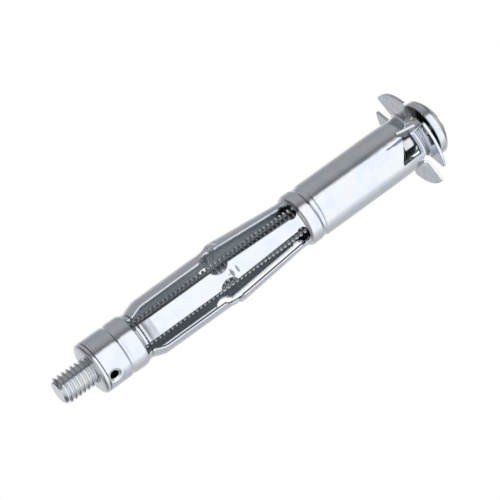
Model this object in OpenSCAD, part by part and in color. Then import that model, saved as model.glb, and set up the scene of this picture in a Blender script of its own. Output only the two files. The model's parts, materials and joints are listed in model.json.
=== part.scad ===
// Hollow-wall anchor, M6 x 80: a screw, a pressed sheet sleeve with five folding legs, and a nut.
// Built along +X: the collar's wall side is the plane x = 0, the screw head is at +x, the nut at -x.
// Leg 1 is at +Z; the others follow by the right-hand rule about +X. Millimetres throughout.

/* [Sleeve] */
// outside diameter of the sleeve tube
tube_d = 11.3; // [10.8:0.1:11.8]
// thickness of the sheet
sheet_t = 0.6; // [0.5:0.05:0.7]
// distance from the collar to the head-side hinge line of the legs
grip_l = 30; // [24:1:40]
// axial length of one leg link, hinge line to fold line
link_l = 18.9; // [15:0.1:22]
// outside diameter of the tail ring around the nut
ring_d = 11; // [10.6:0.1:11.3]

/* [Legs] */
// width of a leg, from the tail to the fold
leg_w = 3.95; // [3.4:0.05:4.1]
// width it tapers to at the tube
head_w = 2.67; // [2.6:0.01:3.9]
// width left at the fold between the two round bites
fold_w = 1.6; // [1.4:0.1:2.2]
// width left at the two hinge roots
root_w = 2.35; // [2.1:0.05:2.6]
// outside radius of the legs over the straight tail link
bulge_r = 5.97; // [5.8:0.01:6.1]
// height of the swage just on the head side of the fold
swage_h = 0.45; // [0.2:0.05:0.5]

/* [Collar] */
// diameter over the collar petals
collar_d = 20.8; // [18:0.2:24]
// angle one petal covers
petal_angle = 60; // [50:1:66]
// how far the barbs reach toward the wall
barb_l = 5.7; // [4:0.1:6.5]

/* [Screw and nut] */
// thread outside diameter, M6
screw_d = 5.9; // [5.8:0.02:5.96]
// length under the head
screw_l = 90; // [85:1:95]
// head diameter
head_d = 12; // [11.4:0.1:12]
// head height
head_h = 4.1; // [3.6:0.1:4.8]
// gap between the collar and the underside of the head, where the fixture goes
fixture_gap = 2.4; // [0.5:0.1:10]
// thickness of the nut's outer flange
nut_flange = 1; // [0.8:0.1:1.4]
// length of the nut body inside the ring
nut_l = 4.7; // [4.2:0.1:4.8]

/* [Hidden] */
$fn = 72;
leg_count = 5;
tube_r = tube_d / 2;
ring_r = ring_d / 2;
head_x = sheet_t + fixture_gap;
tip_x = head_x - screw_l;
root_x = -grip_l;                      // head-side hinge line
fold_x = root_x - link_l;              // fold line
tail_x = fold_x - link_l;              // tail-side hinge line
neck_r = tube_r - 0.62;                // outside radius of the sheet at both hinge lines
throat_r = tube_r - 0.15;              // outside radius just under the collar
root_sag = root_w * root_w / 8 / (neck_r - sheet_t);
hinge_r = neck_r - (sheet_t + root_sag) / 2;
knuckle_r = (sheet_t + root_sag) / 2 + 0.01;
run_gap = 0.06;                        // running clearance around a knuckle
fold_out = bulge_r + 0.2;              // outside radius of the sheet at the fold line
fold_pivot_r = fold_out - sheet_t - 0.07;
end_slope = tan(4.6);                  // relief of the link ends, for squeezing the legs inward
relief_r = 1.4;
relief_x = 0.6;                        // head-side relief holes lie this far along the leg from the hinge
tail_relief_r = 0.8;
tail_relief_x = 0.3;
tail_slot_end = 1.6;                   // the slots run this far past the tail hinge, with square ends
tail_slot_w = 2;
bite_r = 2.2;
leg_step = 360 / leg_count;
ring_end = tail_x - 10.6;              // outer end of the sheet ring
bend_r = 0.7;                          // bend radius between tube and petal, on the wall side
petal_first = 19;                      // centre of the first petal, from leg 1
barb_first = -19.5;                    // plane of the first barb
window_angle = 56;                     // the barb is lanced out of this much of the tube
nut_x = ring_end - nut_flange;
bore_r = screw_d / 2 + run_gap;
crimp_angle = leg_step / 2;
crimp_x = ring_end + 1.35;             // crimps press the ring's end into the nut
crimp_r = 1;

zinc = [0.80, 0.82, 0.85];
zinc_dark = [0.66, 0.69, 0.73];
steel = [0.72, 0.74, 0.77];

// Everything round is drawn with its axis on +Z and leg 1 on +X, then laid along +X.
module lay() { rotate([0, 90, 0]) rotate([0, 0, 180]) children(); }

// A solid of revolution from outline points [axial, radius].
module turned(points, angle = 360, start = 0) {
    rotate_extrude(angle = angle, start = start)
        polygon([for (p = points) [p[1], p[0]]]);
}

// Sheet between an outside line and the same line one sheet thickness further in.
function sheet(line) = concat(line, [for (i = [len(line) - 1 : -1 : 0]) [line[i][0], line[i][1] - sheet_t]]);

// A round punch pointing outward at an angle round the sleeve.
module punch(angle, x, r) {
    rotate([0, 0, angle]) translate([2, 0, x]) rotate([0, 90, 0]) cylinder(r = r, h = 8);
}

// The two relief holes beside a hinge root and the two bites beside the fold.
function relief_angle(r) = asin((root_w / 2 + r - 0.12) / (neck_r - sheet_t / 2));
bite_angle = asin((fold_w / 2 + bite_r) / (fold_out - sheet_t / 2));
module reliefs(x, r) { punch(relief_angle(r), x, r); punch(-relief_angle(r), x, r); }
module bites() { punch(bite_angle, fold_x, bite_r); punch(-bite_angle, fold_x, bite_r); }

// Straight hinge barrel across a root, in the leg's own plane.
module barrel(x, r, w) {
    translate([hinge_r, w / 2, x]) rotate([90, 0, 0]) cylinder(r = r, h = w);
}

// A flat band in the leg's own plane, w0 wide at x0 and w1 wide at x1.
module band(x0, x1, w0, w1) {
    translate([2, 0, 0]) rotate([90, 0, 90]) linear_extrude(8)
        polygon([[-w0 / 2, x0], [w0 / 2, x0], [w1 / 2, x1], [-w1 / 2, x1]]);
}

// ---- legs ----------------------------------------------------------------------------------

// outside line of the head link: root, straight run out to the swage, then down to the fold
head_line = [[root_x, neck_r], [root_x - 0.7, neck_r + 0.01],
             [fold_x + 2.6, fold_out + swage_h - 0.1], [fold_x + 1.8, fold_out + swage_h - 0.1],
             [fold_x + 1.1, fold_out + 0.24], [fold_x + 0.5, fold_out + 0.07], [fold_x - 0.1, fold_out]];
// outside line of the tail link: fold, straight run, ramp down to the tail root
tail_line = [[fold_x + 0.1, fold_out], [fold_x - 0.7, bulge_r + 0.08], [fold_x - 1.6, bulge_r + 0.04],
             [tail_x + 3, bulge_r], [tail_x + 2.4, bulge_r - 0.06], [tail_x + 0.9, neck_r + 0.38],
             [tail_x + 0.4, neck_r + 0.12], [tail_x, neck_r]];

// cuts a link's end square to the sheet at the fold, leaning back for the squeeze
module fold_face(side) {
    translate([0, 0, fold_x]) rotate([90, 0, 0]) translate([0, 0, -4])
        linear_extrude(8) polygon([[2, side * 0.03], [fold_pivot_r, side * 0.03],
            [10, side * (0.03 + (10 - fold_pivot_r) * end_slope)], [10, -side * 4], [2, -side * 4]]);
}

module head_link() {
    difference() {
        intersection() {
            turned(sheet(head_line), angle = leg_step, start = -leg_step / 2);
            band(fold_x, root_x, leg_w, head_w);
        }
        reliefs(root_x - relief_x, relief_r);
        bites();
        fold_face(1);
    }
    barrel(root_x, knuckle_r, root_w - 0.25);
}

module tail_link() {
    difference() {
        intersection() {
            turned(sheet(tail_line), angle = leg_step, start = -leg_step / 2);
            band(tail_x, fold_x + 1, leg_w, leg_w);
        }
        reliefs(tail_x + tail_relief_x, tail_relief_r);
        bites();
        fold_face(-1);
    }
    barrel(tail_x, knuckle_r, root_w - 0.25);
}

module leg(n, part) {
    color(part == 0 ? zinc : zinc_dark) lay() rotate([0, 0, (n - 1) * leg_step])
        if (part == 0) head_link(); else tail_link();
}

// ---- sleeve --------------------------------------------------------------------------------

// what is punched out between the legs at one end of the slots
module slot_ends(x, side) {
    for (k = [0 : leg_count - 1]) rotate([0, 0, k * leg_step]) {
        if (side > 0) reliefs(x - relief_x, relief_r); else reliefs(x + tail_relief_x, tail_relief_r);
        barrel(x, knuckle_r + run_gap, root_w + 1);
        rotate([0, 0, leg_step / 2])
            if (side > 0) band(x - 2, x + relief_r - relief_x, relief_r * 1.4, relief_r * 1.4);
            else band(x - tail_slot_end, x + 2, tail_slot_w, tail_slot_w);
    }
}

// a barb is part of the wall, lanced on three sides and bent out as a flat flap
barb_root = -1.3;
barb_side = 2.9;
flap_h = window_angle * PI / 180 * (tube_r - sheet_t / 2) - 0.3;

// the window it leaves in the tube
module window() {
    intersection() {
        turned([[-barb_l, tube_r - sheet_t - 1], [-barb_l, tube_r + 1], [barb_root, tube_r + 1],
                [barb_root, tube_r - sheet_t - 1]], angle = window_angle, start = 0);
        rotate([0, 0, window_angle / 2]) translate([2, 0, 0]) rotate([90, 0, 90])
            linear_extrude(8) polygon([[-3, barb_root], [-3, -barb_side + 0.3], [-2.3, -barb_side],
                [1.9, -barb_l], [3, -barb_l], [3, barb_root]]);
    }
}

module sleeve_tube() {
    crease = root_x + 4.1;
    color(zinc) lay() difference() {
        turned(sheet([[-bend_r, throat_r], [-barb_l - 0.6, tube_r], [crease + 0.8, tube_r], [crease + 0.35, tube_r - 0.2],
            [crease - 0.35, tube_r - 0.2], [crease - 0.8, tube_r],
            [root_x + 1.6, tube_r], [root_x + 1.25, tube_r - 0.05], [root_x + 0.75, neck_r + 0.2],
            [root_x + 0.45, neck_r + 0.03], [root_x + 0.02, neck_r]]));
        slot_ends(root_x, 1);
        for (s = [0, 180]) rotate([0, 0, barb_first + s]) window();
    }
}

module barb(n) {
    // the flap stands in a radial plane beside the window, joined along the window's straight side
    root_top = tube_r + 0.1;
    tip_r = tube_r + flap_h - 0.3;
    color(zinc) lay() rotate([0, 0, barb_first + (n - 1) * 180])
        translate([0, sheet_t, 0]) rotate([90, 0, 0]) linear_extrude(sheet_t)
            polygon([[tube_r - sheet_t + 0.04, 0.35 - barb_side], [root_top, 0.3 - barb_side],
                [tip_r - 0.6, -barb_l], [tip_r, 0.15 - barb_l], [tip_r, barb_root],
                [tube_r - sheet_t + 0.04, barb_root]]);
}

// one petal: the bend out of the tube's end and the flat sector against the wall
module petal(n) {
    bend_c = throat_r + bend_r;
    color(zinc) lay() rotate_extrude(angle = petal_angle, start = petal_first - petal_angle / 2 + (n - 1) * 90) {
        translate([bend_c, 0]) square([collar_d / 2 - bend_c, sheet_t]);
        intersection() {
            translate([bend_c, -bend_r]) difference() { circle(bend_r + sheet_t); circle(bend_r); }
            translate([throat_r - sheet_t, -bend_r]) square([bend_r + sheet_t, bend_r + sheet_t]);
        }
    }
}

// ---- tail end ------------------------------------------------------------------------------

module tail_ring() {
    crease = tail_x - 5.05;
    color(zinc) lay() difference() {
        turned(sheet([[tail_x - 0.02, neck_r], [tail_x - 0.75, neck_r + 0.01], [tail_x - 1.3, neck_r + 0.12],
            [tail_x - 1.9, ring_r - 0.05], [tail_x - 2.3, ring_r], [crease + 0.7, ring_r],
            [crease + 0.25, ring_r - 0.12], [crease - 0.25, ring_r - 0.12], [crease - 0.7, ring_r],
            [ring_end, ring_r]]));
        slot_ends(tail_x, -1);
        for (s = [0, 180]) punch(crimp_angle + s, crimp_x, crimp_r);
    }
}

// round nut: a body inside the ring, a flange against the ring's end, a dent under each crimp hole
module nut() {
    body_r = ring_r - sheet_t;
    color(steel) lay() difference() {
        union() {
            translate([0, 0, ring_end]) cylinder(r = body_r, h = nut_l);
            turned([[ring_end, 0], [ring_end, ring_r - 0.04], [nut_x + 0.4, ring_r - 0.04],
                    [nut_x + 0.12, ring_r - 0.2], [nut_x, ring_r - 0.5], [nut_x, 0]]);
        }
        translate([0, 0, nut_x - 1]) cylinder(r = bore_r, h = nut_l + nut_flange + 2);
        for (s = [0, 180]) rotate([0, 0, crimp_angle + s]) translate([body_r - 0.9, 0, crimp_x])
            rotate([0, 90, 0]) cylinder(r = crimp_r - 0.1, h = 3);
    }
}

// ---- screw ---------------------------------------------------------------------------------

module screw() {
    r = screw_d / 2;
    dome = (head_d * head_d / 4 + 3.1 * 3.1) / 6.2 + 1.6;
    color(steel) lay() difference() {
        union() {
            turned([[tip_x, 0], [tip_x, r - 0.7], [tip_x + 0.6, r], [head_x + 0.2, r], [head_x + 0.2, 0]]);
            intersection() {
                translate([0, 0, head_x]) cylinder(d = head_d, h = head_h);
                translate([0, 0, head_x + head_h - dome]) sphere(dome, $fn = 96);
            }
        }
        // slot and cross recess for the driver
        translate([-head_d, -0.8, head_x + head_h - 1.5]) cube([head_d * 2, 1.6, 3]);
        for (a = [0, 90]) rotate([0, 0, a]) translate([-2.7, -0.75, head_x + head_h - 2.8])
            cube([5.4, 1.5, 4]);
    }
}

screw();
sleeve_tube();
petal(1);  // petal_1
petal(2);  // petal_2
petal(3);  // petal_3
petal(4);  // petal_4
barb(1);  // barb_1
barb(2);  // barb_2
leg(1, 0);  // leg_1_head
leg(1, 1);  // leg_1_tail
leg(2, 0);  // leg_2_head
leg(2, 1);  // leg_2_tail
leg(3, 0);  // leg_3_head
leg(3, 1);  // leg_3_tail
leg(4, 0);  // leg_4_head
leg(4, 1);  // leg_4_tail
leg(5, 0);  // leg_5_head
leg(5, 1);  // leg_5_tail
tail_ring();
nut();
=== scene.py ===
"""Looks of the hollow-wall anchor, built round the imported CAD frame.

Lengths in this script are millimetres until a mesh is made. The anchor lies along X, and beta is the
angle round it, right-handed about +X from leg 1 at +Z. Every sheet part is cut out flat, as a region of
(u, beta), and then laid on one profile that runs from the nut's ring to the rim of the collar.
"""

import json
import math

import bmesh
import bpy
import numpy as np
from mathutils import Matrix, Vector
from mathutils.geometry import delaunay_2d_cdt


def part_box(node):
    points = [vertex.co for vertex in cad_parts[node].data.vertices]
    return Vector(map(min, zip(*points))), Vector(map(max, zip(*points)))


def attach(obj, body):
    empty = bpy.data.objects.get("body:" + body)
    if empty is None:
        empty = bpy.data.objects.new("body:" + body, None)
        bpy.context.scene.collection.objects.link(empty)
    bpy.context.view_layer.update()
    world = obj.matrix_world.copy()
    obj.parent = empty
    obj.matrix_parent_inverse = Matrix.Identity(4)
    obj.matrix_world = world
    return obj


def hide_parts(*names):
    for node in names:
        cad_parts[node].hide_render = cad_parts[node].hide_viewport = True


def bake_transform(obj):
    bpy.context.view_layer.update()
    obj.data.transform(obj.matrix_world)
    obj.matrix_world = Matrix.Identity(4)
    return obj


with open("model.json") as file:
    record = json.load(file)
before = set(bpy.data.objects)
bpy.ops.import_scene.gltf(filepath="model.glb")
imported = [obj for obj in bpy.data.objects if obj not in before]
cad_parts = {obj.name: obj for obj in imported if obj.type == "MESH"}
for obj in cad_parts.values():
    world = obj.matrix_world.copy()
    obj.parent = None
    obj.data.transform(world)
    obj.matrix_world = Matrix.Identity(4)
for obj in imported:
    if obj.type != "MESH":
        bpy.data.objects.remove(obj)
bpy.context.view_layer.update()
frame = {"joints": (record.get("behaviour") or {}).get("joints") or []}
MM = 0.001


# ---- sizes, read from the frame ------------------------------------------------------------------

def box_mm(node):
    low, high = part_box(node)
    return low / MM, high / MM


joint_x = {joint["name"]: joint["pos_m"][0] / MM for joint in frame["joints"]}
root_x = joint_x["leg_1_head_fold"]
fold_x = joint_x["leg_1_mid_fold"]
tail_x = joint_x["tail_pull"]
sheet_t = box_mm("petal_1")[1].x
collar_r = max(max(abs(v) for v in corner.yz) for n in range(1, 5) for corner in box_mm(f"petal_{n}"))
tube_r = box_mm("sleeve_tube")[1].z
ring_end = box_mm("tail_ring")[0].x
ring_r = box_mm("tail_ring")[1].z
swage_r = box_mm("leg_1_head")[1].z
fold_r = box_mm("leg_1_tail")[1].z
leg_half = box_mm("leg_1_tail")[1].y
nut_low, nut_high = box_mm("nut")
screw_low, screw_high = box_mm("screw")
head_r = screw_high.z
barb_end = min(box_mm("barb_1")[0].x, box_mm("barb_2")[0].x)
barb_r = max(math.hypot(c.y, c.z) for c in box_mm("barb_2"))

leg_count = 5
half_t = sheet_t / 2
# where the ring and the tube are creased, and the necks at both ends of the legs
ring_crease = tail_x - 5.05
tube_crease = root_x + 4.1
neck_r = tube_r - 0.62
# the tube narrows a little to its throat and turns out into the collar over bend_r
throat_r = tube_r - 0.15
bend_r = 0.7
# round holes either side of a leg's root: radius, distance before the hinge line, offset from the leg
relief_r = 1.4
relief_dx = 0.6
relief_y = 2.455
# round bites either side of a leg's fold: radius and offset from the leg
bite_r = 2.2
bite_y = 3.0
# half a leg's width at the tube, and how far the slots run on into the ring
head_half = 1.335
slot_end = 1.6
# where a leg is divided between its two pieces, just past the fold
seam_u = fold_x + 2.6
# rounding of cut edges: in general, along the legs, and at a leg's free end
edge_r = 0.09
leg_edge_r = 0.2
end_r = 0.29
end_gap = 0.13
tab_end_r = 0.2
# petals and barbs
petal_first = math.radians(19)
petal_half = math.radians(30)
barb_first = math.radians(-19.5)
window_angle = math.radians(56)
barb_root = -1.3
barb_side = 2.9
barb_twist = math.radians(4)
# crimps that hold the nut
crimp_x = ring_end + 1.35
crimp_r = 1.0
# screw: M6, plain near the head, with a domed head, a slot and a cross recess
screw_r = 2.95
shank_r = screw_r - 0.03
point_r = screw_r - 0.75
pitch = 1.0
thread_depth = 0.6134 * pitch
plain_x = -3.0
runout = 0.7
head_x = sheet_t + 2.4
dome_r = 8.96
slot_w, slot_l, slot_deep = 1.6, 14.0, 1.5
cross_w, cross_l, cross_deep = 1.5, 5.4, 2.8
# columns of mesh round the sleeve
COLUMNS = 100
STEP = 2 * math.pi / COLUMNS


# ---- the profile ---------------------------------------------------------------------------------

def rounded(points, reach):
    """The polyline with each inner corner eased over at most reach on both sides."""
    points = np.array(points, float)
    out = [points[0]]
    for before, corner, after in zip(points, points[1:], points[2:]):
        back, on = before - corner, after - corner
        d = min(reach, 0.45 * np.linalg.norm(back), 0.45 * np.linalg.norm(on))
        a = corner + back / np.linalg.norm(back) * d
        b = corner + on / np.linalg.norm(on) * d
        for t in np.linspace(0, 1, 7):
            out.append((1 - t) ** 2 * a + 2 * t * (1 - t) * corner + t * t * b)
    out.append(points[-1])
    return np.array(out)


def outside_line():
    """Outside radius of the sheet along the anchor, from the ring's end to the collar."""
    bulge_r = fold_r - 0.2
    ring = [[ring_end - 1, ring_r], [ring_crease - 0.7, ring_r], [ring_crease - 0.3, ring_r - 0.2],
            [ring_crease + 0.1, ring_r - 0.2], [ring_crease + 0.8, ring_r], [tail_x - 2.3, ring_r]]
    tail_neck = [[tail_x - 1.8, ring_r - 0.06], [tail_x - 1.2, neck_r + 0.1], [tail_x - 0.7, neck_r],
                 [tail_x + 0.1, neck_r + 0.01], [tail_x + 0.9, neck_r + 0.36]]
    tail_link = [[tail_x + 2.4, bulge_r - 0.06], [tail_x + 3, bulge_r], [fold_x - 1.6, bulge_r + 0.04],
                 [fold_x - 0.7, bulge_r + 0.08]]
    fold = [[fold_x, fold_r], [fold_x + 0.5, fold_r + 0.07], [fold_x + 1.1, swage_r - 0.2],
            [fold_x + 1.8, swage_r], [seam_u, swage_r]]
    head_neck = [[root_x - 0.7, neck_r + 0.01], [root_x + 0.4, neck_r + 0.02], [root_x + 0.75, neck_r + 0.18],
                 [root_x + 1.25, tube_r - 0.06], [root_x + 1.6, tube_r]]
    tube = [[tube_crease - 0.95, tube_r], [tube_crease - 0.4, tube_r - 0.25],
            [tube_crease + 0.4, tube_r - 0.25], [tube_crease + 0.95, tube_r],
            [barb_end - 0.6, tube_r], [-bend_r, throat_r]]
    return ring + tail_neck + tail_link + fold + head_neck + tube


def make_profile():
    """u, x and r of the sheet's middle line; u is x on the sleeve, and the path length past the bend."""
    line = rounded(outside_line(), 0.45) - [0, half_t]
    u = list(line[:, 0])
    bend_mid, centre = bend_r + half_t, throat_r + bend_r
    points = [tuple(p) for p in line]
    for a in np.linspace(0, math.pi / 2, 13)[1:]:
        points.append((-bend_r + bend_mid * math.sin(a), centre - bend_mid * math.cos(a)))
        u.append(-bend_r + bend_mid * a)
    points.append((half_t, collar_r + 1))
    u.append(u[-1] + collar_r + 1 - centre)
    x, r = np.array(points).T
    return np.array(u), x, r


PROFILE_U, PROFILE_X, PROFILE_R = make_profile()
# the petals' flat part starts at petal_u and ends at the rim
petal_u = PROFILE_U[-2]
rim_u = petal_u + collar_r - (throat_r + bend_r)


def profile_r(u):
    return np.interp(u, PROFILE_U, PROFILE_R)


# where the crimps lie round the ring: opposite each other, between two legs
CRIMPS = [math.pi / leg_count + n * math.pi for n in range(2)]
# marks the fold's press leaves on each leg: u past the fold, place across it, depth, length, width
PRESS_MARKS = [(1.25, 0.35, 0.34, 0.55, 0.7), (3.1, 0.25, 0.22, 0.46, 0.85)]


def dent(u, beta):
    """How far the sheet is pressed in or out of its profile."""
    out = np.zeros_like(u)
    leg_y = wrapped(beta * leg_count) / leg_count * fold_r
    for at, across_at, depth, long, wide in PRESS_MARKS:
        out -= depth * np.exp(-((u - fold_x - at) / long) ** 2 - ((leg_y - across_at) / wide) ** 2)
    for at in CRIMPS:
        # each crimp draws its own rim in, inside a slight lip
        across = wrapped(beta - at) * ring_r
        away = np.hypot(u - crimp_x, across)
        near_ring = u < crimp_x + 4
        out -= 0.3 * np.exp(-((away - crimp_r) / 0.35) ** 2) * near_ring
        out += 0.1 * np.exp(-((away - crimp_r - 0.75) / 0.4) ** 2) * near_ring
    return out


def wrapped(angle):
    return (angle + math.pi) % (2 * math.pi) - math.pi


def on_sleeve(u, beta):
    """Points of the sheet's middle surface."""
    off = u - tube_crease
    slant = 0.35 * off * np.exp(-(off / 1.3) ** 2) * np.sin(beta + 0.3)
    r = profile_r(u + slant) + dent(u, beta)
    return np.column_stack([np.interp(u, PROFILE_U, PROFILE_X), -r * np.sin(beta), r * np.cos(beta)])


# ---- sheet parts ---------------------------------------------------------------------------------

def log_plane(u, beta):
    """The sleeve's surface unrolled into a ring without stretching its triangles."""
    grow = np.exp((u - root_x) / tube_r * 0.5)
    return np.column_stack([grow * np.cos(beta), grow * np.sin(beta)])


class Surface:
    """A middle surface that a sheet is laid on. place(u, w) gives its points, plane(u, w) the flat plane
    it is triangulated in, and scale(u) the length of one unit of w. On a round one w is an angle."""

    def __init__(self, place, plane, scale, is_round=False):
        self.place, self.plane, self.scale, self.is_round = place, plane, scale, is_round

    def length_across(self, dw, u):
        return (wrapped(dw) if self.is_round else dw) * self.scale(u)

    def frame_at(self, u, w):
        """Points of the surface, with unit vectors along u, along w and out of the face."""
        e = 1e-3
        along = self.place(u + e, w) - self.place(u - e, w)
        round_ = self.place(u, w + e) - self.place(u, w - e)
        along /= np.linalg.norm(along, axis=1)[:, None]
        face = np.cross(round_, along)
        face /= np.linalg.norm(face, axis=1)[:, None]
        side = np.cross(along, face)
        return self.place(u, w), along, side, face


SLEEVE = Surface(on_sleeve, log_plane, profile_r, is_round=True)


def inside(points, polygons):
    """Even-odd test of points against closed polygons, all in the plane."""
    hit = np.zeros(len(points), bool)
    px, py = points[:, 0], points[:, 1]
    for poly in polygons:
        for (x0, y0), (x1, y1) in zip(poly, np.roll(poly, -1, axis=0)):
            if y0 == y1:
                continue
            crosses = (y0 > py) != (y1 > py)
            hit ^= crosses & (px < x0 + (py - y0) / (y1 - y0) * (x1 - x0))
    return hit


class Edge:
    """A closed outline: u and w of its points, and for each point its edge radius and whether the
    stretch after it is a plain cut, hidden against the next piece."""

    def __init__(self, points):
        self.u, self.w, self.radius, self.cut = (np.array(c, float) for c in zip(*points))
        self.cut = self.cut > 0
        real_before, real_after = ~np.roll(self.cut, 1), ~self.cut
        self.real_before, self.real_after = real_before, real_after
        self.cut_end = real_before != real_after
        self.in_cut = ~(real_before | real_after)

    def face_out(self, surface, outlines):
        """Sets out_u and out_w, the unit direction out of the sheet at each point, miter, by which an
        inset is divided at a corner, and backward, the way the outline runs."""
        du = np.roll(self.u, -1) - self.u
        dw = surface.length_across(np.roll(self.w, -1) - self.w, self.u)
        length = np.hypot(du, dw)
        side_u, side_w = dw / length, -du / length
        mu = side_u * self.real_after + np.roll(side_u, 1) * self.real_before
        mw = side_w * self.real_after + np.roll(side_w, 1) * self.real_before
        # where a cut starts or ends, the direction lies along the cut
        mu[self.cut_end] = 0
        norm = np.maximum(np.hypot(mu, mw), 1e-9)
        mu, mw = mu / norm, mw / norm
        miter = np.maximum(0.6, (mu * side_u + mw * side_w) * self.real_after + (~self.real_after))
        self.miter = np.where(self.cut_end, 1, miter)
        i = np.flatnonzero(~self.in_cut & ~self.cut_end)[0]
        near = 1e-3
        scale = surface.scale(self.u)
        probe = surface.plane(self.u[i:i + 1] + near * mu[i], self.w[i:i + 1] + near * mw[i] / scale[i])
        self.backward = bool(inside(probe, outlines)[0])
        sign = -1.0 if self.backward else 1.0
        self.out_u, self.out_w = mu * sign, mw * sign


# the edge's quarter rounds from the upper face to the lower: angle from the face, and which face
CHAIN = [(0.0, 1), (45.0, 1), (90.0, 1), (90.0, -1), (45.0, -1), (0.0, -1)]
# how much of the inside's painted shade and rougher finish each of those rows has
INNER_SHADE = [0.0, 0.0, 0.0, 0.45, 1.0, 1.0]


class Sheet:
    """A closed sheet with rounded edges, cut out of a surface by its outlines. grid holds the u and w
    of its inner points."""

    def __init__(self, name, surface, edges, grid):
        self.surface = surface
        self.points, self.normals, self.inner = [], [], []
        self.faces, self.caps = [], []
        self.flat, self.links, self.owner = [], [], []
        self.bottom_of = {}
        outlines = [surface.plane(e.u, e.w) for e in edges]
        rims = [self.round_over(e, outlines) for e in edges]
        self.add_grid(edges, rims, grid)
        self.fill(name, rims)

    def round_over(self, e, outlines):
        """Adds an outline's rounded edge, and returns its rim on the upper face, in the plane."""
        e.face_out(self.surface, outlines)
        n = len(e.u)
        scale = self.surface.scale(e.u)
        ids = np.full((n, len(CHAIN)), -1)
        first = len(self.flat)
        for row, (angle, side) in enumerate(CHAIN):
            a = math.radians(angle)
            inset = np.where(e.in_cut, 0, e.radius * (1 - math.sin(a)) / e.miter)
            depth = np.where(e.in_cut, side * half_t, side * (half_t - e.radius * (1 - math.cos(a))))
            u, w = e.u - e.out_u * inset, e.w - e.out_w * inset / scale
            middle, along, across, face = self.surface.frame_at(u, w)
            out = along * e.out_u[:, None] + across * e.out_w[:, None]
            on_face = row in (0, len(CHAIN) - 1)
            kept = np.arange(n) if on_face else np.flatnonzero(~e.in_cut)
            ids[kept, row] = len(self.points) + np.arange(len(kept))
            self.points.extend((middle + face * depth[:, None])[kept])
            self.normals.extend((out * math.sin(a) + face * (side * math.cos(a)))[kept])
            self.inner.extend(INNER_SHADE[row] * (u[kept] < -bend_r))
            if row == 0:
                self.flat.extend(self.surface.plane(u, w))
        self.owner.extend(ids[:, 0])
        self.links.extend((first + i, first + (i + 1) % n) for i in range(n))
        self.bottom_of.update((int(top), int(bottom)) for top, bottom in ids[:, [0, -1]])
        self.add_walls(e, ids)
        return np.array(self.flat[first:])

    def add_walls(self, e, ids):
        """Faces of a rounded edge, and a plain cap over each stretch that is cut."""
        n = len(e.u)
        turn = -1 if e.backward else 1
        for i in np.flatnonzero(~e.cut):
            j = (i + 1) % n
            for row in range(len(CHAIN) - 1):
                self.faces.append([ids[i, row], ids[j, row], ids[j, row + 1], ids[i, row + 1]][::turn])
        for i in np.flatnonzero(e.cut & e.real_before):
            run = [i]
            while e.cut[run[-1]]:
                run.append((run[-1] + 1) % n)
            down, up = list(ids[run[-1], 1:-1]), list(ids[i, -2:0:-1])
            cap = [ids[j, 0] for j in run] + down + [ids[j, -1] for j in run[::-1]] + up
            self.caps.append(cap[::turn])

    def add_grid(self, edges, rims, grid):
        """Adds the inner points on both faces, where they lie in the sheet and clear of its edges."""
        surface = self.surface
        u, w = grid
        keep = inside(surface.plane(u, w), rims)
        edge_u = np.concatenate([e.u for e in edges])
        edge_w = np.concatenate([e.w for e in edges])
        clear = max(e.radius.max() for e in edges) + 0.07
        for i in range(0, len(u), 512):
            part = slice(i, i + 512)
            across = surface.length_across(w[part, None] - edge_w[None, :], u[part, None])
            near = np.hypot(u[part, None] - edge_u[None, :], across).min(axis=1)
            keep[part] &= near > clear
        u, w = u[keep], w[keep]
        middle, _, _, face = surface.frame_at(u, w)
        top = len(self.points) + np.arange(len(u))
        # the lower face lies inside the tube and takes the painted shade there
        for side, inside_shade in ((1, 0.0), (-1, 1.0)):
            self.points.extend(middle + side * face * half_t)
            self.normals.extend(side * face)
            self.inner.extend(inside_shade * (u < -bend_r))
        self.bottom_of.update((int(i), int(i) + len(u)) for i in top)
        self.flat.extend(surface.plane(u, w))
        self.owner.extend(top)

    def fill(self, name, rims):
        """Triangulates both faces between the rims."""
        made = delaunay_2d_cdt([Vector(p) for p in self.flat], self.links, [], 0, 1e-7)
        if any(len(source) == 0 for source in made[3]):
            raise RuntimeError(f"{name}: its outline crosses itself")
        index = [int(self.owner[source[0]]) for source in made[3]]
        where = np.array([v[:] for v in made[0]])
        tris = np.array([f for f in made[2] if len(f) == 3])
        tris = tris[inside(where[tris].mean(axis=1), rims)]
        first, second = where[tris[:, 1]] - where[tris[:, 0]], where[tris[:, 2]] - where[tris[:, 0]]
        turn = first[:, 0] * second[:, 1] - first[:, 1] * second[:, 0]
        # three points of one straight edge make no triangle
        real = np.abs(turn) > 1e-6 * ((first ** 2).sum(axis=1) + (second ** 2).sum(axis=1))
        for tri, is_ccw in zip(tris[real], turn[real] > 0):
            a, b, c = (index[i] for i in (tri[::-1] if is_ccw else tri))
            self.faces.append([a, b, c])
            self.faces.append([self.bottom_of[c], self.bottom_of[b], self.bottom_of[a]])


def make_object(name, parts, material):
    """One object from sheets, with their normals kept. A cap's corners take the cap's own normal."""
    points, inner, faces, corner_normals = [], [], [], []
    for part in parts:
        at = len(points)
        points.extend(np.array(part.points) * MM)
        inner.extend(part.inner)
        for f in part.faces:
            faces.append([i + at for i in f])
            corner_normals.extend(part.normals[i] for i in f)
        for f in part.caps:
            faces.append([i + at for i in f])
            corner_normals.extend([None] * len(f))
    mesh = bpy.data.meshes.new(name)
    mesh.from_pydata([tuple(p) for p in points], [], faces)
    mesh.polygons.foreach_set("use_smooth", [True] * len(mesh.polygons))
    mesh.update()
    at = 0
    for poly in mesh.polygons:
        if corner_normals[at] is None:
            for i in range(poly.loop_total):
                corner_normals[at + i] = tuple(poly.normal)
        at += poly.loop_total
    mesh.normals_split_custom_set([tuple(v) for v in corner_normals])
    # inner weights the painted shade on the faces inside the tube
    mesh.attributes.new("inner", "FLOAT", "POINT").data.foreach_set("value", inner)
    return add_object(name, mesh, material)


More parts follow.
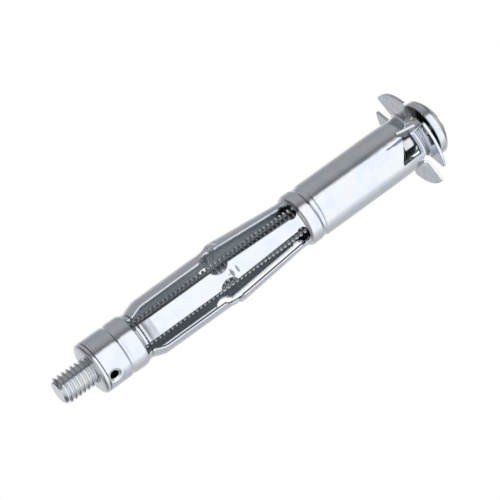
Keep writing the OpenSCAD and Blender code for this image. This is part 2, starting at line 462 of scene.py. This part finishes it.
def add_object(name, mesh, material):
    obj = bpy.data.objects.new(name, mesh)
    bpy.context.scene.collection.objects.link(obj)
    mesh.materials.append(material)
    return obj


def grid_of(rows, columns):
    u, b = np.meshgrid(rows, columns, indexing="ij")
    return u.ravel(), b.ravel()


def rows_between(low, high, spans):
    """Row positions from low to high. spans are (from, to, step), and 0.8 holds elsewhere."""
    rows, at = [], low
    while at < high:
        step = min([s for a, b, s in spans if a <= at < b] or [0.8])
        at += step
        rows.append(at)
    return np.array([r for r in rows if r < high - 0.07])


def at_side(u, y, centre):
    """beta of a point y to the side of a leg's centre line."""
    return centre + math.asin(max(-1, min(1, y / float(profile_r(u)))))


def root_crown():
    """The tube's edge: a neck for each leg, cut at the hinge line, and round holes between them."""
    centre_u = root_x - relief_dx
    open_angle = math.acos(relief_dx / relief_r)
    end_y = relief_y - relief_r * math.sin(open_angle)
    top_u = centre_u + relief_r
    points = []
    for k in range(leg_count):
        centre = 2 * math.pi * k / leg_count
        after = 2 * math.pi * (k + 1) / leg_count
        for y in np.linspace(-end_y, end_y, 9)[:-1]:
            points.append((root_x, at_side(root_x, y, centre), edge_r, 1))
        points.append((root_x, at_side(root_x, end_y, centre), edge_r, 0))
        for phi in np.linspace(open_angle, 0, 12)[1:]:
            u = centre_u + relief_r * math.cos(phi)
            points.append((u, at_side(u, relief_y - relief_r * math.sin(phi), centre), edge_r, 0))
        left = at_side(top_u, relief_y, centre)
        for b in np.linspace(left, centre + after - left, 5)[1:-1]:
            points.append((top_u, b, edge_r, 0))
        for phi in np.linspace(0, open_angle, 12)[:-1]:
            u = centre_u + relief_r * math.cos(phi)
            points.append((u, at_side(u, -relief_y + relief_r * math.sin(phi), after), edge_r, 0))
    return Edge(points)


def tail_crown(end_u):
    """The ring's edge: a straight tab for each leg, and square slot ends."""
    points, bottom, ease = [], tail_x - slot_end, 0.3
    for k in range(leg_count):
        centre = 2 * math.pi * k / leg_count
        after = 2 * math.pi * (k + 1) / leg_count
        for y in np.linspace(-leg_half, leg_half, 9):
            points.append((end_u, at_side(end_u, y, centre), tab_end_r, 0))
        for u in np.linspace(end_u, bottom + ease, 9)[1:-1]:
            points.append((u, at_side(u, leg_half, centre), edge_r, 0))
        low = at_side(bottom, leg_half, centre)
        turn = ease / neck_r
        for t in np.linspace(0, 1, 6):
            points.append((bottom + ease * (1 - t) ** 2, low + turn * t * t, edge_r, 0))
        far = centre + after - low
        for b in np.linspace(low + turn, far - turn, 6)[1:-1]:
            points.append((bottom, b, edge_r, 0))
        for t in np.linspace(0, 1, 6):
            points.append((bottom + ease * t * t, far - turn * (1 - t) ** 2, edge_r, 0))
        for u in np.linspace(bottom + ease, end_u, 9)[1:-1]:
            points.append((u, at_side(u, -leg_half, after), edge_r, 0))
    return Edge(points)


def crimp_hole(beta):
    """A round hole punched through the ring."""
    points = []
    for a in np.linspace(0, 2 * math.pi, 28, endpoint=False):
        u = crimp_x + crimp_r * math.cos(a)
        points.append((u, at_side(u, crimp_r * math.sin(a), beta), edge_r, 0))
    return Edge(points)


def eased(corners, reach, scale, step=0.3):
    """A closed outline through (u, w) corners, each eased over reach, with points about step apart.
    scale is the length of one unit of w."""
    metric = np.array(corners, float) * [1, scale]
    n = len(metric)
    out = []
    for i in range(n):
        before, corner, after = metric[i - 1], metric[i], metric[(i + 1) % n]
        back, on = before - corner, after - corner
        d = min(reach, 0.45 * np.linalg.norm(back), 0.45 * np.linalg.norm(on))
        a = corner + back / np.linalg.norm(back) * d
        b = corner + on / np.linalg.norm(on) * d
        for t in np.linspace(0, 1, 6):
            out.append((1 - t) ** 2 * a + 2 * t * (1 - t) * corner + t * t * b)
        count = max(1, int(np.linalg.norm(after - corner) / step))
        far = after + (corner - after) / np.linalg.norm(corner - after) * min(
            reach, 0.45 * np.linalg.norm(on), 0.45 * np.linalg.norm(metric[(i + 2) % n] - after))
        for t in np.linspace(0, 1, count + 1)[1:-1]:
            out.append(b + (far - b) * t)
    return np.array(out) / [1, scale]


def collar_edge():
    """Outline of the four petals and the notches between them."""
    points = []
    notch_u, notch_r, rim_ease = -bend_r - 0.15, 0.5, 0.45
    r_notch, r_rim = throat_r, collar_r
    for n in range(4):
        centre = petal_first + n * math.pi / 2
        low, high = centre - petal_half, centre + petal_half
        for t in np.linspace(0, 1, 7)[:-1]:
            points.append((notch_u + notch_r * t * t, low - notch_r / r_notch * (1 - t) ** 2, edge_r, 0))
        for u in np.linspace(notch_u + notch_r, rim_u - rim_ease, 20)[:-1]:
            points.append((u, low, edge_r, 0))
        for t in np.linspace(0, 1, 7):
            points.append((rim_u - rim_ease * (1 - t) ** 2, low + rim_ease / r_rim * t * t, edge_r, 0))
        for b in np.linspace(low + rim_ease / r_rim, high - rim_ease / r_rim, 26)[1:-1]:
            points.append((rim_u, b, edge_r, 0))
        for t in np.linspace(0, 1, 7):
            points.append((rim_u - rim_ease * t * t, high - rim_ease / r_rim * (1 - t) ** 2, edge_r, 0))
        for u in np.linspace(rim_u - rim_ease, notch_u + notch_r, 20)[1:]:
            points.append((u, high, edge_r, 0))
        for t in np.linspace(0, 1, 7)[1:]:
            points.append((notch_u + notch_r * (1 - t) ** 2, high + notch_r / r_notch * t * t, edge_r, 0))
        after = petal_first + (n + 1) * math.pi / 2 - petal_half
        for b in np.linspace(high + notch_r / r_notch, after - notch_r / r_notch, 6)[1:-1]:
            points.append((notch_u, b, edge_r, 0))
    return Edge(points)


def window_edge(n):
    """The opening that barb n was lanced out of: its far side slants toward the barb."""
    start = barb_first + n * math.pi
    slant = window_angle / 2 + math.asin(1.9 / (tube_r - half_t))
    corners = [(barb_root, start), (-barb_side, start), (barb_end, start + slant),
               (barb_end, start + window_angle), (barb_root, start + window_angle)]
    return Edge([(u, w, 0.06, 0) for u, w in eased(corners, 0.25, tube_r)])


def barb_part(n):
    """The flap bent out of a window: along the wall for a little, round the bend, then straight out."""
    start_beta = barb_first + n * math.pi
    start_r = tube_r - half_t + 0.012
    lead, fold, shift = 0.25, 0.35, 0.02
    arc = fold * math.pi / 2
    root_w = lead + arc
    tip_w = root_w + barb_r - start_r - fold

    def place(u, w):
        # w is the path from the wall out to the tip
        a = np.clip((w - lead) / fold, 0, math.pi / 2)
        side = np.minimum(w - lead, 0) + fold * np.sin(a) + shift
        out = start_r + fold * (1 - np.cos(a)) + np.maximum(w - root_w, 0)
        twist = barb_twist * (u - barb_end) / (barb_root - barb_end) * (out - start_r) / (barb_r - start_r)
        turn = start_beta + twist
        y = -out * np.sin(turn) - side * np.cos(turn)
        z = out * np.cos(turn) - side * np.sin(turn)
        return np.column_stack([u, y, z])

    corners = [(barb_root, 0.0), (barb_root, tip_w), (barb_end + 0.1, tip_w), (barb_end, tip_w - 0.55),
               (-barb_side + 0.3, root_w), (-barb_side + 0.3, 0.0)]
    outline = Edge([(u, w, edge_r, 0) for u, w in eased(corners, 0.2, 1.0, 0.25)])
    grid = grid_of(np.arange(barb_end, barb_root, 0.3), np.arange(0.1, tip_w, 0.12))
    flap = Surface(place, lambda u, w: np.column_stack([u, w]), np.ones_like)
    return Sheet("barb", flap, [outline], grid)


def sleeve_part():
    """The tube, its throat and the petals."""
    spans = [(root_x, root_x + 6, 0.15), (root_x + 6, barb_end - 1, 1.2), (barb_end - 1, -bend_r, 0.35),
             (-bend_r, petal_u, 0.13), (petal_u, rim_u, 0.45)]
    rows = rows_between(root_x, rim_u, spans)
    edges = [root_crown(), collar_edge(), window_edge(0), window_edge(1)]
    return Sheet("sleeve", SLEEVE, edges, grid_of(rows, np.arange(COLUMNS) * STEP))


def tail_part():
    """The ring round the nut, with a tab toward each leg."""
    rows = rows_between(ring_end, tail_x, [(tail_x - 6, tail_x + 1, 0.15), (ring_end, ring_end + 4, 0.25)])
    end = Edge([(ring_end, b, edge_r, 0) for b in np.arange(COLUMNS) * STEP])
    edges = [tail_crown(tail_x - end_r - end_gap), end] + [crimp_hole(beta) for beta in CRIMPS]
    return Sheet("tail", SLEEVE, edges, grid_of(rows, np.arange(COLUMNS) * STEP))


def side_y(u):
    """Half a leg's width between its bites and holes: it tapers from the fold to the tube."""
    return leg_half + (head_half - leg_half) * max(0.0, (u - fold_x) / (root_x - fold_x))


# what is punched out either side of a leg: position, radius and offset
PUNCHES = [(fold_x, bite_r, bite_y), (root_x - relief_dx, relief_r, relief_y)]


def leg_width(u):
    """Half the width of a leg, with a bite on each side at the fold and a relief hole at the tube."""
    y = side_y(u)
    for centre, r, off in PUNCHES:
        d = abs(u - centre)
        if d < r:
            y = min(y, off - math.sqrt(r * r - d * d))
    return y


def leg_stations(low, high):
    """u positions along a leg's sides, close together at its bends, bites and holes."""
    spans = [(root_x - 2.6, root_x, 0.12), (tail_x - 1, tail_x + 3.6, 0.15), (fold_x - 2.2, fold_x + 4, 0.15)]
    rows = list(rows_between(low, high, spans))
    for centre, r, off in PUNCHES:
        for way in (-1, 1):
            corner = centre
            for _ in range(4):
                corner = centre + way * math.sqrt(r * r - (off - side_y(corner)) ** 2)
            # a station right at the corner takes the place of its neighbours
            if low < corner < high:
                rows = [v for v in rows if abs(v - corner) > 0.05] + [corner]
    return np.array(sorted(rows))


def leg_radius(u):
    """Edge radius of a leg, which fades into the tube's at the root."""
    return edge_r + (leg_edge_r - edge_r) * min(1.0, max(0.0, (root_x - u) / 2))


def leg_part(k, low, high, low_cut, high_cut):
    """Leg k between two u positions. An end that isn't cut is rounded over."""
    centre = 2 * math.pi * (k - 1) / leg_count
    stations = leg_stations(low, high)
    if not low_cut:
        stations = stations[stations > low + 0.35]

    def point(u, y, cut=0, radius=None):
        return u, at_side(u, y, centre), radius or leg_radius(u), cut

    end = None if low_cut else end_r
    points = [point(low, y, low_cut, end) for y in np.linspace(-leg_width(low), leg_width(low), 9)[:-1]]
    points.append(point(low, leg_width(low), 0, end))
    points += [point(u, leg_width(u)) for u in stations]
    points += [point(high, y, high_cut) for y in np.linspace(leg_width(high), -leg_width(high), 9)[:-1]]
    points.append(point(high, -leg_width(high)))
    points += [point(u, -leg_width(u)) for u in stations[::-1]]
    grid = grid_of(stations, centre + np.arange(-7, 8) * STEP * 0.8)
    return Sheet(f"leg_{k}", SLEEVE, [Edge(points)], grid)


# ---- turned parts --------------------------------------------------------------------------------

def circle(x, r, columns):
    """Points round the axis, from +Z by the right-hand rule about +X."""
    angles = [2 * math.pi * j / columns for j in range(columns)]
    return [(x, -r * math.sin(b), r * math.cos(b)) for b in angles]


def turned_part(line, columns, closed=False):
    """Points and faces turned about X from (x, r) points. A closed line's last point joins its first."""
    n = len(line)
    points, faces = [], []
    for x, r in line:
        points.extend(circle(x, r, columns))
    for i in range(n if closed else n - 1):
        for j in range(columns):
            a, b = i * columns + j, i * columns + (j + 1) % columns
            c, d = ((i + 1) % n) * columns + (j + 1) % columns, ((i + 1) % n) * columns + j
            faces.append([a, b, c, d])
    return points, faces


def plain_object(name, points, faces, material, sharp):
    """An object with smooth shading, apart from edges sharper than sharp degrees."""
    mesh = bpy.data.meshes.new(name)
    mesh.from_pydata([tuple(c * MM for c in p) for p in points], [], faces)
    bm = bmesh.new()
    bm.from_mesh(mesh)
    bmesh.ops.remove_doubles(bm, verts=bm.verts, dist=2e-6)
    bmesh.ops.dissolve_degenerate(bm, edges=bm.edges, dist=1e-7)
    bmesh.ops.recalc_face_normals(bm, faces=bm.faces)
    bm.to_mesh(mesh)
    bm.free()
    mesh.polygons.foreach_set("use_smooth", [True] * len(mesh.polygons))
    mesh.set_sharp_from_angle(angle=math.radians(sharp))
    return add_object(name, mesh, material)


def thread_part(columns):
    """The helical thread's skin, from the flat of the tip to the plain neck."""
    tip_x = screw_low.x
    # share of a pitch and of the thread's height: root, flank, crest, flank
    tooth = [(0.0, 0.0), (0.16, 0.02), (0.44, 0.92), (0.5, 1.0), (0.56, 1.0), (0.62, 0.92), (0.9, 0.02)]
    turns = int((plain_x - tip_x) / pitch) + 3
    rows = [(tip_x + (turn + dx) * pitch, screw_r - thread_depth * (1 - up))
            for turn in range(-1, turns) for dx, up in tooth]
    points, faces = [], []
    for row_x, row_r in rows:
        for j in range(columns):
            x = row_x - pitch * j / columns
            # the tip is chamfered, and the thread runs out into the neck
            r = min(row_r, point_r + max(0.0, x - tip_x) * 1.05)
            fade = max(0.0, (x - plain_x + runout) / runout)
            r = r + (shank_r - r) * min(1.0, fade)
            if x <= tip_x:
                x, r = tip_x, point_r
            if x >= plain_x:
                x, r = plain_x, shank_r
            b = 2 * math.pi * j / columns
            points.append((x, -r * math.sin(b), r * math.cos(b)))
    per_turn = len(tooth)
    for i in range(len(rows) - 1):
        for j in range(columns - 1):
            a, d = i * columns + j, (i + 1) * columns + j
            faces.append([a, a + 1, d + 1, d])
        # the last column joins the first one turn back
        if i >= per_turn:
            a, d = i * columns + columns - 1, (i + 1) * columns + columns - 1
            faces.append([a, (i - per_turn) * columns, (i + 1 - per_turn) * columns, d])
    return points, faces


def tip_part(columns):
    """The flat of the tip."""
    points, faces = turned_part([(screw_low.x, r) for r in (point_r, point_r - 0.2, 0.6)], columns)
    return points, faces + [[2 * columns + j for j in range(columns)]]


def head_part(columns):
    """The plain neck, the head's flat underside and rim, and its dome."""
    line = [(plain_x, shank_r), (head_x - 0.25, shank_r), (head_x - 0.08, screw_r + 0.05),
            (head_x, screw_r + 0.25), (head_x, head_r - 0.35), (head_x + 0.06, head_r - 0.15),
            (head_x + 0.2, head_r - 0.03), (head_x + 0.4, head_r)]
    for a in np.linspace(0, 1, 5)[1:]:
        line.append((head_x + 0.4 + a * 0.9, head_r - 0.02 * a))
    for r in [5.96, 5.9, 5.78, 5.6, 5.3, 4.9, 4.4, 3.8, 3.2, 2.6, 2.0, 1.4, 0.8, 0.4]:
        soft = max(0.0, (r - 5.5) / 0.5)
        line.append((screw_high.x - (dome_r - math.sqrt(dome_r ** 2 - r * r)) - 0.15 * soft ** 2, r))
    points, faces = turned_part(line, columns)
    return points, faces + [[(len(line) - 1) * columns + j for j in range(columns)]]


def screw_object(material):
    """The screw as one skin, with its recess cut."""
    columns = 48
    points, faces = [], []
    for more, rings in (thread_part(columns), tip_part(columns), head_part(columns)):
        start = len(points)
        points.extend(more)
        faces.extend([i + start for i in f] for f in rings)
    obj = plain_object("screw_body", points, faces, material, 40)
    top = screw_high.x
    carve(obj, [box_points(top - slot_deep, top + 2, slot_w, slot_l),
                box_points(top - cross_deep, top + 2, cross_w, cross_l),
                box_points(top - cross_deep, top + 2, cross_l, cross_w)], 40)
    return obj


def box_points(x0, x1, y_size, z_size):
    """A box cutter, whose narrow way tapers a little toward its bottom at x0."""
    points = []
    for x, taper in ((x0, 0.9), (x1, 1.1)):
        y = y_size / 2 * (taper if y_size < z_size else 1)
        z = z_size / 2 * (taper if z_size < y_size else 1)
        points += [(x, -y, -z), (x, y, -z), (x, y, z), (x, -y, z)]
    return points, [[0, 1, 2, 3], [7, 6, 5, 4], [0, 4, 5, 1], [1, 5, 6, 2], [2, 6, 7, 3], [3, 7, 4, 0]]


def carve(obj, cutters, sharp):
    """Takes closed shapes out of a piece, and leaves plain mesh data behind."""
    made = [plain_object("cutter", *c, obj.data.materials[0], 30) for c in cutters]
    for cutter in made:
        step = obj.modifiers.new("cut", "BOOLEAN")
        step.object, step.operation, step.solver = cutter, "DIFFERENCE", "EXACT"
    bpy.context.view_layer.update()
    cut = bpy.data.meshes.new_from_object(obj.evaluated_get(bpy.context.evaluated_depsgraph_get()))
    obj.modifiers.clear()
    old, obj.data = obj.data, cut
    bpy.data.meshes.remove(old)
    for cutter in made:
        bpy.data.meshes.remove(cutter.data)
    cut.polygons.foreach_set("use_smooth", [True] * len(cut.polygons))
    cut.set_sharp_from_angle(angle=math.radians(sharp))


def crimp_cutter(beta, low_r, high_r):
    """A round cutter across the anchor at beta, from low_r to high_r."""
    out = Vector((0, -math.sin(beta), math.cos(beta)))
    side = Vector((0, -math.cos(beta), -math.sin(beta)))
    r, n = crimp_r * 0.97, 32
    ring = [Vector((crimp_x + math.cos(t) * r, 0, 0)) + side * math.sin(t) * r
            for t in np.linspace(0, 2 * math.pi, n + 1)[:-1]]
    points = [p + out * low_r for p in ring] + [p + out * high_r for p in ring]
    walls = [[i, (i + 1) % n, n + (i + 1) % n, n + i] for i in range(n)]
    return points, walls + [list(range(n - 1, -1, -1)), list(range(n, 2 * n))]


def nut_object(material):
    """The round nut: a flange with eased edges and a body with two crimp dents."""
    bore, body, flange = screw_r - 0.5, ring_r - sheet_t - 0.02, ring_r - 0.05
    face_x, back_x = nut_low.x, nut_high.x
    flange_line = [(face_x, bore + 0.5), (face_x, flange - 0.5), (face_x + 0.05, flange - 0.32),
                   (face_x + 0.16, flange - 0.14), (face_x + 0.34, flange - 0.02), (face_x + 0.5, flange),
                   (ring_end - 0.22, flange), (ring_end - 0.1, flange - 0.06),
                   (ring_end - 0.04, flange - 0.2)]
    body_line = [(ring_end - 0.03, body), (back_x - 0.4, body), (back_x - 0.1, body - 0.25),
                 (back_x, body - 0.6), (back_x, bore + 0.5), (back_x - 0.6, bore), (face_x + 0.6, bore)]
    points, faces = turned_part(flange_line + body_line, 96, closed=True)
    obj = plain_object("nut_body", points, faces, material, 30)
    carve(obj, [crimp_cutter(beta, body - 0.9, body + 2) for beta in CRIMPS], 30)
    return obj


# ---- materials -----------------------------------------------------------------------------------

class Graph:
    """Short calls for wiring a shader. A value is a number, a tuple or a socket."""

    def __init__(self, owner):
        owner.use_nodes = True
        self.tree = owner.node_tree
        self.tree.nodes.clear()

    def node(self, kind, inputs=(), **settings):
        made = self.tree.nodes.new(kind)
        for key, value in settings.items():
            setattr(made, key, value)
        for key, value in dict(inputs).items():
            self.feed(made.inputs[key], value)
        return made

    def feed(self, socket, value):
        if isinstance(value, bpy.types.NodeSocket):
            self.tree.links.new(value, socket)
        else:
            socket.default_value = value

    def calc(self, operation, a, b=0.0):
        return self.node("ShaderNodeMath", {0: a, 1: b}, operation=operation).outputs[0]

    def remap(self, value, low, high, to_low, to_high):
        ranges = {"Value": value, "From Min": low, "From Max": high, "To Min": to_low, "To Max": to_high}
        return self.node("ShaderNodeMapRange", ranges).outputs["Result"]

    def noise(self, place, scale, detail=3.0):
        made = self.node("ShaderNodeTexNoise", {"Vector": place, "Scale": scale, "Detail": detail})
        return made.outputs["Fac"]

    def rings(self, radius, scale, detail):
        """Noise that changes with distance from the axis only, like turning marks."""
        inputs = {"W": radius, "Scale": scale, "Detail": detail}
        return self.node("ShaderNodeTexNoise", inputs, noise_dimensions="1D").outputs["Fac"]

    def stretch(self, place, by):
        return self.node("ShaderNodeVectorMath", {0: place, 1: by}, operation="MULTIPLY").outputs[0]

    def split(self, vector):
        return self.node("ShaderNodeSeparateXYZ", {"Vector": vector}).outputs

    def mix(self, factor, a, b, blend="MIX"):
        made = self.node("ShaderNodeMix", data_type="RGBA", blend_type=blend)
        for socket, value in ((made.inputs[0], factor), (made.inputs[6], a), (made.inputs[7], b)):
            self.feed(socket, (*value, 1) if isinstance(value, tuple) else value)
        return made.outputs[2]

    def ramp(self, value, stops):
        made = self.node("ShaderNodeValToRGB", {"Fac": value})
        elements = made.color_ramp.elements
        elements.remove(elements[1])
        for i, (at, colour) in enumerate(stops):
            e = elements[0] if i == 0 else elements.new(at)
            e.position = at
            e.color = (*colour, 1)
        return made.outputs["Color"]

    def millimetres(self):
        place = self.node("ShaderNodeTexCoord").outputs["Object"]
        return self.stretch(place, (1000.0, 1000.0, 1000.0))


def finish_metal(g, colour, roughness, height, depth):
    """The shader of a bare or plated metal. height is its relief, depth millimetres deep."""
    bump = g.node("ShaderNodeBump", {"Height": height, "Strength": 1.0, "Distance": depth * MM})
    bsdf = g.node("ShaderNodeBsdfPrincipled", {"Base Color": colour, "Roughness": roughness, "Metallic": 1.0,
                                               "Normal": bump.outputs["Normal"]})
    g.node("ShaderNodeOutputMaterial", {"Surface": bsdf.outputs["BSDF"]})


def zinc_finish():
    """Bright zinc plate on pressed sheet, with painted shade inside the tube, where it is also rougher."""
    mat = bpy.data.materials.new("zinc_sheet")
    g = Graph(mat)
    place = g.millimetres()
    # noise: patches of tint, grain of the plate, lines drawn along the sheet, and a slow unevenness
    cloud = g.noise(place, 0.3)
    grain = g.noise(place, 4.0, 4.0)
    drawn = g.noise(g.stretch(place, (0.15, 3.2, 3.2)), 1.0, 3.0)
    wavy = g.noise(g.stretch(place, (0.5, 0.5, 0.5)), 1.0, 1.0)
    inner = g.node("ShaderNodeAttribute", attribute_name="inner").outputs["Fac"]
    bluish, bright, greyish = (0.78, 0.84, 0.92), (0.84, 0.88, 0.925), (0.85, 0.87, 0.885)
    inside_shade = (0.34, 0.385, 0.42)
    # painted shade: the faces inside the tube take a dark colour by the inner attribute
    colour = g.mix(inner, g.ramp(cloud, [(0.36, bluish), (0.52, bright), (0.66, greyish)]), inside_shade)
    plain = g.calc("ADD", g.remap(grain, 0.3, 0.7, 0.07, 0.15), g.remap(drawn, 0.45, 0.7, 0.0, 0.08))
    roughness = g.calc("ADD", plain, g.calc("MULTIPLY", inner, 0.3))
    relief = g.calc("ADD", g.calc("MULTIPLY", grain, 0.25), g.calc("MULTIPLY", drawn, 0.3))
    height = g.calc("ADD", relief, g.calc("MULTIPLY", wavy, 2.0))
    finish_metal(g, colour, roughness, height, 0.02)
    return mat


def off_axis(g, place):
    """Position along the anchor and distance from its axis."""
    parts = g.split(place)
    squares = [g.calc("MULTIPLY", parts[side], parts[side]) for side in ("Y", "Z")]
    return parts["X"], g.calc("SQRT", g.calc("ADD", *squares))


def thread_shade(g, x, radius):
    """Painted shade in the thread's roots, strongest inside the sleeve and least where the tip stands out of
    the nut.
    """
    root = g.remap(radius, screw_r - thread_depth * 0.95, screw_r - 0.3, 0.7, 0.0)
    in_thread = g.calc("MULTIPLY", root, g.remap(x, plain_x - 0.2, plain_x, 1.0, 0.0))
    in_sleeve = g.remap(x, ring_end - 1.0, ring_end + 1.0, 0.1, 0.9)
    off_end = g.remap(x, screw_low.x + 0.02, screw_low.x + 0.2, 0.0, 1.0)
    return g.calc("MULTIPLY", in_thread, g.calc("MULTIPLY", in_sleeve, off_end))


def recess_shade(g, x, radius):
    """Painted shade below the head's dome, which is only seen inside the recess."""
    rise = g.calc("SQRT", g.calc("SUBTRACT", dome_r ** 2, g.calc("MULTIPLY", radius, radius)))
    below_dome = g.calc("SUBTRACT", g.calc("ADD", rise, screw_high.x - dome_r), x)
    deep = g.remap(below_dome, 0.2, 0.9, 0.0, 0.8)
    in_head = g.remap(x, head_x + 0.9, head_x + 1.2, 0.0, 1.0)
    return g.calc("MULTIPLY", g.calc("MULTIPLY", deep, in_head), g.remap(radius, 5.3, 5.7, 1.0, 0.0))


def screw_finish():
    """Plated steel: bright crests, painted shade in the thread roots and the recess, and a painted shadow on
    the head's underside.
    """
    mat = bpy.data.materials.new("screw_steel")
    g = Graph(mat)
    place = g.millimetres()
    x, radius = off_axis(g, place)
    grain = g.noise(place, 5.0, 4.0)
    cloud = g.noise(place, 0.5)
    # painted shade in the thread roots and the recess, which are also made rougher
    painted_shade = g.calc("MAXIMUM", thread_shade(g, x, radius), recess_shade(g, x, radius))
    # painted shadow, near black, on the head's underside
    at_underside = g.remap(x, head_x + 0.02, head_x + 0.12, 0.9, 0.0)
    under_head_shade = g.calc("MULTIPLY", at_underside, g.remap(radius, 3.0, 3.4, 0.0, 1.0))
    bluish, bright, warm = (0.75, 0.79, 0.84), (0.82, 0.85, 0.875), (0.82, 0.82, 0.80)
    # painted shade colours: grey for the thread roots and recess, near black for the head's underside
    shade_grey, shade_black = (0.16, 0.17, 0.18), (0.02, 0.021, 0.023)
    tint = g.ramp(cloud, [(0.38, bluish), (0.55, bright), (0.68, warm)])
    colour = g.mix(under_head_shade, g.mix(painted_shade, tint, shade_grey), shade_black)
    roughness = g.calc("ADD", g.remap(grain, 0.3, 0.7, 0.1, 0.2), g.calc("MULTIPLY", painted_shade, 0.25))
    turned = g.calc("MULTIPLY", g.rings(radius, 9.0, 2.0), 0.15)
    finish_metal(g, colour, roughness, g.calc("ADD", g.calc("MULTIPLY", grain, 0.5), turned), 0.012)
    return mat


def nut_finish():
    """Turned steel with a thin plate: rings on its face, and painted shade, black, where it lies inside the
    ring.
    """
    mat = bpy.data.materials.new("nut_steel")
    g = Graph(mat)
    place = g.millimetres()
    x, radius = off_axis(g, place)
    grain = g.noise(place, 4.0, 4.0)
    cloud = g.noise(place, 0.6)
    # painted shade: the body inside the ring is coloured black and made rougher
    hidden = g.remap(x, ring_end - 0.1, ring_end + 0.3, 0.0, 1.0)
    bluish, bright, shade_black = (0.78, 0.82, 0.87), (0.86, 0.89, 0.91), (0.02, 0.022, 0.025)
    colour = g.mix(hidden, g.ramp(cloud, [(0.38, bluish), (0.6, bright)]), shade_black)
    roughness = g.calc("ADD", g.remap(grain, 0.3, 0.7, 0.14, 0.26), g.calc("MULTIPLY", hidden, 0.3))
    height = g.calc("ADD", g.calc("MULTIPLY", grain, 0.5), g.rings(radius, 12.0, 3.0))
    finish_metal(g, colour, roughness, height, 0.012)
    return mat


zinc_sheet = zinc_finish()
nut_steel = nut_finish()
screw_steel = screw_finish()


# ---- pieces --------------------------------------------------------------------------------------


sleeve = make_object("sleeve_shell", [sleeve_part(), barb_part(0), barb_part(1)], zinc_sheet)
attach(sleeve, "sleeve")
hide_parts("sleeve_tube", "petal_1", "petal_2", "petal_3", "petal_4", "barb_1", "barb_2")

# each leg is two pieces, divided just past the fold: one runs on to the tube, the other holds the fold
for k in range(1, leg_count + 1):
    upper = make_object(f"leg_{k}_root", [leg_part(k, seam_u, root_x, 1, 1)], zinc_sheet)
    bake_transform(upper)
    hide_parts(f"leg_{k}_head")
    lower = make_object(f"leg_{k}_strip", [leg_part(k, tail_x - end_r, seam_u, 0, 1)], zinc_sheet)
    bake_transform(lower)
    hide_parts(f"leg_{k}_tail")

tail = make_object("tail_shell", [tail_part()], zinc_sheet)
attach(tail, "tail")
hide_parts("tail_ring")

nut = nut_object(nut_steel)
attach(nut, "tail")
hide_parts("nut")

screw = screw_object(screw_steel)
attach(screw, "bolt")
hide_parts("screw")


# ---- camera, light and floor ---------------------------------------------------------------------

def camera():
    """The view from above and a little toward the nut end, with the head at the upper right."""
    toward = Vector((0, 0.0767, 0.997)).normalized()
    up = Vector((0, 0.997, -0.0767)).normalized()
    axis = Vector((1, 0, 0))
    turn, roll, distance = math.radians(17.5), math.radians(35.82), 0.6
    back = math.cos(turn) * toward - math.sin(turn) * axis
    along = math.cos(turn) * axis + math.sin(turn) * toward
    right = math.cos(roll) * along - math.sin(roll) * up
    high = math.sin(roll) * along + math.cos(roll) * up
    target = Vector((-0.0399, 0, 0)) + 0.00072 * up
    data = bpy.data.cameras.new("camera")
    obj = bpy.data.objects.new("camera", data)
    bpy.context.scene.collection.objects.link(obj)
    facing = Matrix((right, high, back)).transposed().to_4x4()
    obj.matrix_world = Matrix.Translation(target + back * distance) @ facing
    # the frame is as wide as this, in millimetres, where the anchor lies
    frame_width = 500 / 5.2
    data.sensor_width = 36
    data.lens = data.sensor_width * distance / (frame_width * MM)
    bpy.context.scene.camera = obj


def studio():
    """Soft light all round: bright above and toward -Y, grey toward +Y, with dim strips at the ends."""
    world = bpy.data.worlds.new("studio")
    bpy.context.scene.world = world
    g = Graph(world)
    direction = g.split(g.node("ShaderNodeTexCoord").outputs["Generated"])
    # brightness by the angle round the anchor, in degrees: 0 is +Y, 90 is +Z, 180 is -Y, -90 is -Z
    around = [(-180, 0.72), (-165, 0.58), (-145, 0.5), (-120, 0.62), (-90, 0.82), (-68, 0.72), (-48, 0.38),
              (-30, 0.34), (8, 0.38), (27, 0.32), (37, 0.2), (47, 0.2), (51, 0.75), (56, 1.08), (160, 1.06),
              (170, 0.88), (180, 0.72)]
    # and by the direction's share of X
    along = [(-1.0, 0.75), (-0.88, 0.75), (-0.78, 0.3), (-0.52, 0.3), (-0.34, 0.7), (-0.22, 1.0), (0.64, 1.0),
             (0.72, 0.36), (0.88, 0.36), (0.94, 0.9), (1.0, 0.9)]
    angle = g.calc("ARCTAN2", direction["Z"], direction["Y"])
    wall_stops = [((degrees + 180) / 360, (v, v, v * 1.02)) for degrees, v in around]
    end_stops = [((x + 1) / 2, (v, v, v)) for x, v in along]
    wall = g.ramp(g.remap(angle, -math.pi, math.pi, 0.0, 1.0), wall_stops)
    ends = g.ramp(g.remap(direction["X"], -1.0, 1.0, 0.0, 1.0), end_stops)
    room = g.node("ShaderNodeBackground", {"Color": g.mix(1.0, wall, ends, "MULTIPLY")})
    # behind the anchor the camera sees plain white
    white = g.node("ShaderNodeBackground", {"Color": (1, 1, 1, 1)})
    seen = g.node("ShaderNodeLightPath").outputs["Is Camera Ray"]
    pick = g.node("ShaderNodeMixShader", {0: seen, 1: room.outputs[0], 2: white.outputs[0]})
    g.node("ShaderNodeOutputWorld", {"Surface": pick.outputs[0]})


def floor():
    """A plain white table top, lit evenly, below the widest the legs open."""
    half, depth = 0.35, -0.026
    corners = [(-half, -half, depth), (half, -half, depth), (half, half, depth), (-half, half, depth)]
    mesh = bpy.data.meshes.new("floor")
    mesh.from_pydata(corners, [], [[0, 1, 2, 3]])
    mat = bpy.data.materials.new("floor")
    g = Graph(mat)
    glow = g.node("ShaderNodeEmission", {"Color": (1, 1, 1, 1), "Strength": 1.0})
    g.node("ShaderNodeOutputMaterial", {"Surface": glow.outputs[0]})
    obj = add_object("floor", mesh, mat)
    obj.visible_glossy = obj.visible_diffuse = obj.visible_shadow = False


floor()
camera()
studio()
bpy.context.scene.view_settings.view_transform = "Standard"
